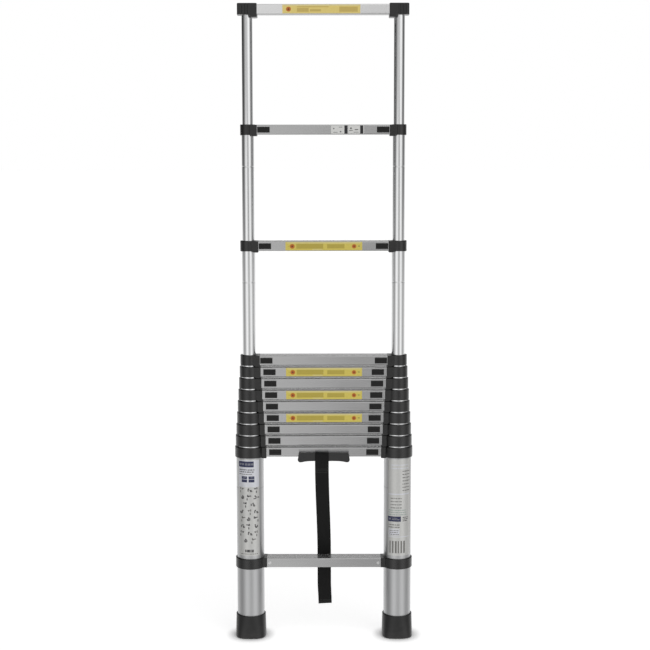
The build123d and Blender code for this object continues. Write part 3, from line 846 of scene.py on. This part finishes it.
def add_strap():
    """Webbing looped round the grip and sewn, hanging behind the bottom rung."""
    corners = strap_corners()
    route = divided(rounded_route(corners, CORNER_REACH), LONGEST_STEP)
    mesh = bmesh.new()
    weave = mesh.loops.layers.uv.new("weave")
    profile = webbing_profile(STRAP_HALF_WIDTH, STRAP_THICK, STRAP_SELVEDGE)
    length = sweep(mesh, route, strap_shift, strap_twist, profile, weave)
    strap = mesh_object("strap", mesh, [webbing("strap_webbing", 0.0080)], smooth=True)
    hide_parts("carry_strap")
    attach(strap, BASE)
    add_stitches(corners)


# --- Springs ---

def wire_ring(mesh, centre, radial):
    """A ring of points round the wire at one place on the coil."""
    ring = []
    for corner in range(WIRE_SIDES):
        angle = 2 * math.pi * corner / WIRE_SIDES
        offset = radial * math.cos(angle) + Vector((1, 0, 0)) * math.sin(angle)
        ring.append(mesh.verts.new(centre + offset * SPRING_WIRE))
    return ring


def coil(start, end, height):
    """A closed helix of wire along X whose first and last turns lie flat."""
    mesh = bmesh.new()
    steps = SPRING_TURNS * SPRING_STEPS
    rings = []
    for step in range(steps + 1):
        share = step / steps
        turn = 2 * math.pi * SPRING_TURNS * share
        eased = min(1.0, max(0.0, (share * SPRING_TURNS - 1) / (SPRING_TURNS - 2)))
        radial = Vector((0, math.cos(turn), math.sin(turn)))
        centre = Vector((start + (end - start) * eased, 0, height)) + radial * SPRING_RADIUS
        rings.append(wire_ring(mesh, centre, radial))
    mesh.faces.new(rings[0])
    mesh.faces.new(rings[-1])
    for before, after in zip(rings, rings[1:]):
        for i in range(WIRE_SIDES):
            j = (i + 1) % WIRE_SIDES
            mesh.faces.new((before[i], before[j], after[j], after[i]))
    return mesh


def add_spring(section, side, wire):
    """The coil spring between a latch's slider and its stop."""
    name = f"latch_{section:02d}_{side}"
    sign = 1 if side == "right" else -1
    low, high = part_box(name)
    slider_end = (low.x if sign > 0 else -high.x) + BOSS_LENGTH
    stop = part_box(f"section_{section:02d}_rung")[1].x - STOP_FACE
    height = rung_middle(section)
    near, far = stop + SPRING_WIRE, slider_end - SPRING_WIRE
    mesh = coil(sign * near, sign * far, height)
    spring = mesh_object(f"spring_{section:02d}_{side}", mesh, [wire], smooth=True)
    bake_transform(spring)


# --- Stage ---

SENSOR = 36.0
LENS = 79.75
LENS_SHIFT = (0.0026, -0.0294)
CAMERA_PLACE = (0.0, -3.749, 1.319)
CAMERA_TILT = 6.55            # degrees below level
CAMERA_ROLL = 0.083
FARTHEST = 200.0

FLOOR_REACH = 60.0
FLOOR_DROP = 0.0002
CONTACT_REACH = 0.030         # how far the painted contact shadow round the soles reaches
CONTACT_FALL = 2.0
FLOOR_GLOW = 0.74             # brings the open floor up to the backdrop's white

# Brightness round the ladder, in degrees from the front towards +X: a ring above the horizon,
# one level with it and one below it.
STUDIO_HIGH = [
    (-180, 1.0), (-150, 0.7), (-125, 0.05), (-95, 0.02), (-70, 0.14), (-48, 0.36), (-28, 0.56),
    (-9, 0.53), (-4, 0.70), (4, 0.74), (14, 0.84), (34, 1.15), (50, 0.95), (68, 0.40), (88, 0.10),
    (112, 0.16), (135, 0.45), (180, 1.0),
]
STUDIO_LEVEL = [
    (-180, 1.0), (-150, 0.8), (-115, 0.20), (-84, 0.10), (-62, 0.32), (-40, 1.05), (-24, 1.12),
    (-8, 0.60), (-1.2, 0.62), (1.6, 0.15), (4, 0.15), (10, 0.40), (32, 1.08), (52, 0.85), (72, 0.22),
    (98, 0.16), (125, 0.55), (150, 0.8), (180, 1.0),
]
STUDIO_LOW = [
    (-180, 1.1), (-140, 1.1), (-110, 0.70), (-85, 0.36), (-66, 0.40), (-44, 0.85), (-28, 1.12),
    (-10, 0.80), (-1.2, 0.70), (1.6, 0.42), (6, 0.46), (20, 0.64), (38, 1.10), (56, 0.85), (77, 0.42),
    (98, 0.52), (130, 1.05), (180, 1.1),
]
# Heights on the unit sphere between which one ring of brightness fades into the next.
LOW_TO_LEVEL = (-0.10, -0.035)
LEVEL_TO_HIGH = (-0.025, 0.045)
OVERHEAD = (0.06, 0.22)
BEHIND = (-0.2, 0.5)
OVERHEAD_BEHIND = 0.45        # share of the light left overhead at the back


def add_camera():
    data = bpy.data.cameras.new("photo_view")
    data.sensor_width = SENSOR
    data.lens = LENS
    data.shift_x, data.shift_y = LENS_SHIFT
    data.clip_end = FARTHEST
    camera = bpy.data.objects.new("photo_view", data)
    camera.location = CAMERA_PLACE
    camera.rotation_euler = (math.radians(90 - CAMERA_TILT), math.radians(CAMERA_ROLL), 0.0)
    bpy.context.scene.collection.objects.link(camera)
    bpy.context.scene.camera = camera


def add_floor():
    """A white floor whose glow is dimmed close to what stands on it, a painted contact shadow."""
    mesh = bmesh.new()
    reach = FLOOR_REACH
    corners = ((-reach, -reach), (reach, -reach), (reach, reach), (-reach, reach))
    mesh.faces.new([mesh.verts.new((x, y, -FLOOR_DROP)) for x, y in corners])
    material, tree, surface = new_material("studio_floor")
    # Painted shadow: ambient occlusion dims the floor's glow round the soles.
    near = node(tree, "AmbientOcclusion", {"Distance": CONTACT_REACH}, samples=12).outputs["AO"]
    painted_contact_shadow = combine(tree, "POWER", near, CONTACT_FALL)
    feed(tree, surface, Base_Color=grey(0.80), Roughness=0.9, Specular_IOR_Level=0.0,
         Emission_Color=grey(1.0), Emission_Strength=combine(tree, "MULTIPLY", painted_contact_shadow, FLOOR_GLOW))
    floor = mesh_object("studio_floor", mesh, [material])
    floor.visible_glossy = floor.visible_diffuse = False


def brightness_round(tree, share, stops):
    """A ring of brightness as a ramp over share, which is 0 and 1 at the back."""
    ramp = node(tree, "ValToRGB", {0: share})
    marks = ramp.color_ramp.elements
    for degrees, value in stops[1:-1]:
        marks.new((degrees + 180) / 360).color = grey(value)
    marks[0].color, marks[len(marks) - 1].color = grey(stops[0][1]), grey(stops[-1][1])
    return ramp.outputs[0]


def add_world():
    """Soft boxes and dark flags round the ladder, dimmer overhead, on a white backdrop."""
    world = bpy.data.worlds.new("studio")
    world.use_nodes = True
    tree = world.node_tree
    bpy.context.scene.world = world
    parts = node(tree, "SeparateXYZ", {0: node(tree, "TexCoord").outputs["Generated"]}).outputs
    front = combine(tree, "MULTIPLY", parts["Y"], -1.0)
    azimuth = combine(tree, "ARCTAN2", parts["X"], front)
    share = remap(tree, azimuth, 0.0, 1.0, -math.pi, math.pi)
    rings = (STUDIO_LOW, STUDIO_LEVEL, STUDIO_HIGH)
    low, level, high = (brightness_round(tree, share, stops) for stops in rings)
    lower = mix(tree, remap(tree, parts["Z"], 0.0, 1.0, *LOW_TO_LEVEL), low, level)
    light = mix(tree, remap(tree, parts["Z"], 0.0, 1.0, *LEVEL_TO_HIGH), lower, high)
    behind = remap(tree, parts["Y"], 1.0, OVERHEAD_BEHIND, *BEHIND)
    overhead = combine(tree, "MAXIMUM", remap(tree, parts["Z"], 0.0, 1.0, *OVERHEAD), 0.0)
    loss = combine(tree, "MULTIPLY", overhead, combine(tree, "SUBTRACT", behind, 1.0))
    dimmed = combine(tree, "ADD", loss, 1.0)
    light = node(tree, "VectorMath", {0: light, 1: dimmed}, operation="MULTIPLY").outputs[0]
    seen = node(tree, "LightPath").outputs["Is Camera Ray"]
    tree.links.new(mix(tree, seen, light, grey(1.0)), tree.nodes["Background"].inputs["Color"])


add_camera()
add_world()
add_floor()
finish_cad()
add_labels()
add_strap()
wire = spring_wire()
for section in range(1, SECTIONS):
    for side in SIDES:
        add_spring(section, side, wire)
bpy.context.scene.view_settings.view_transform = "Standard"
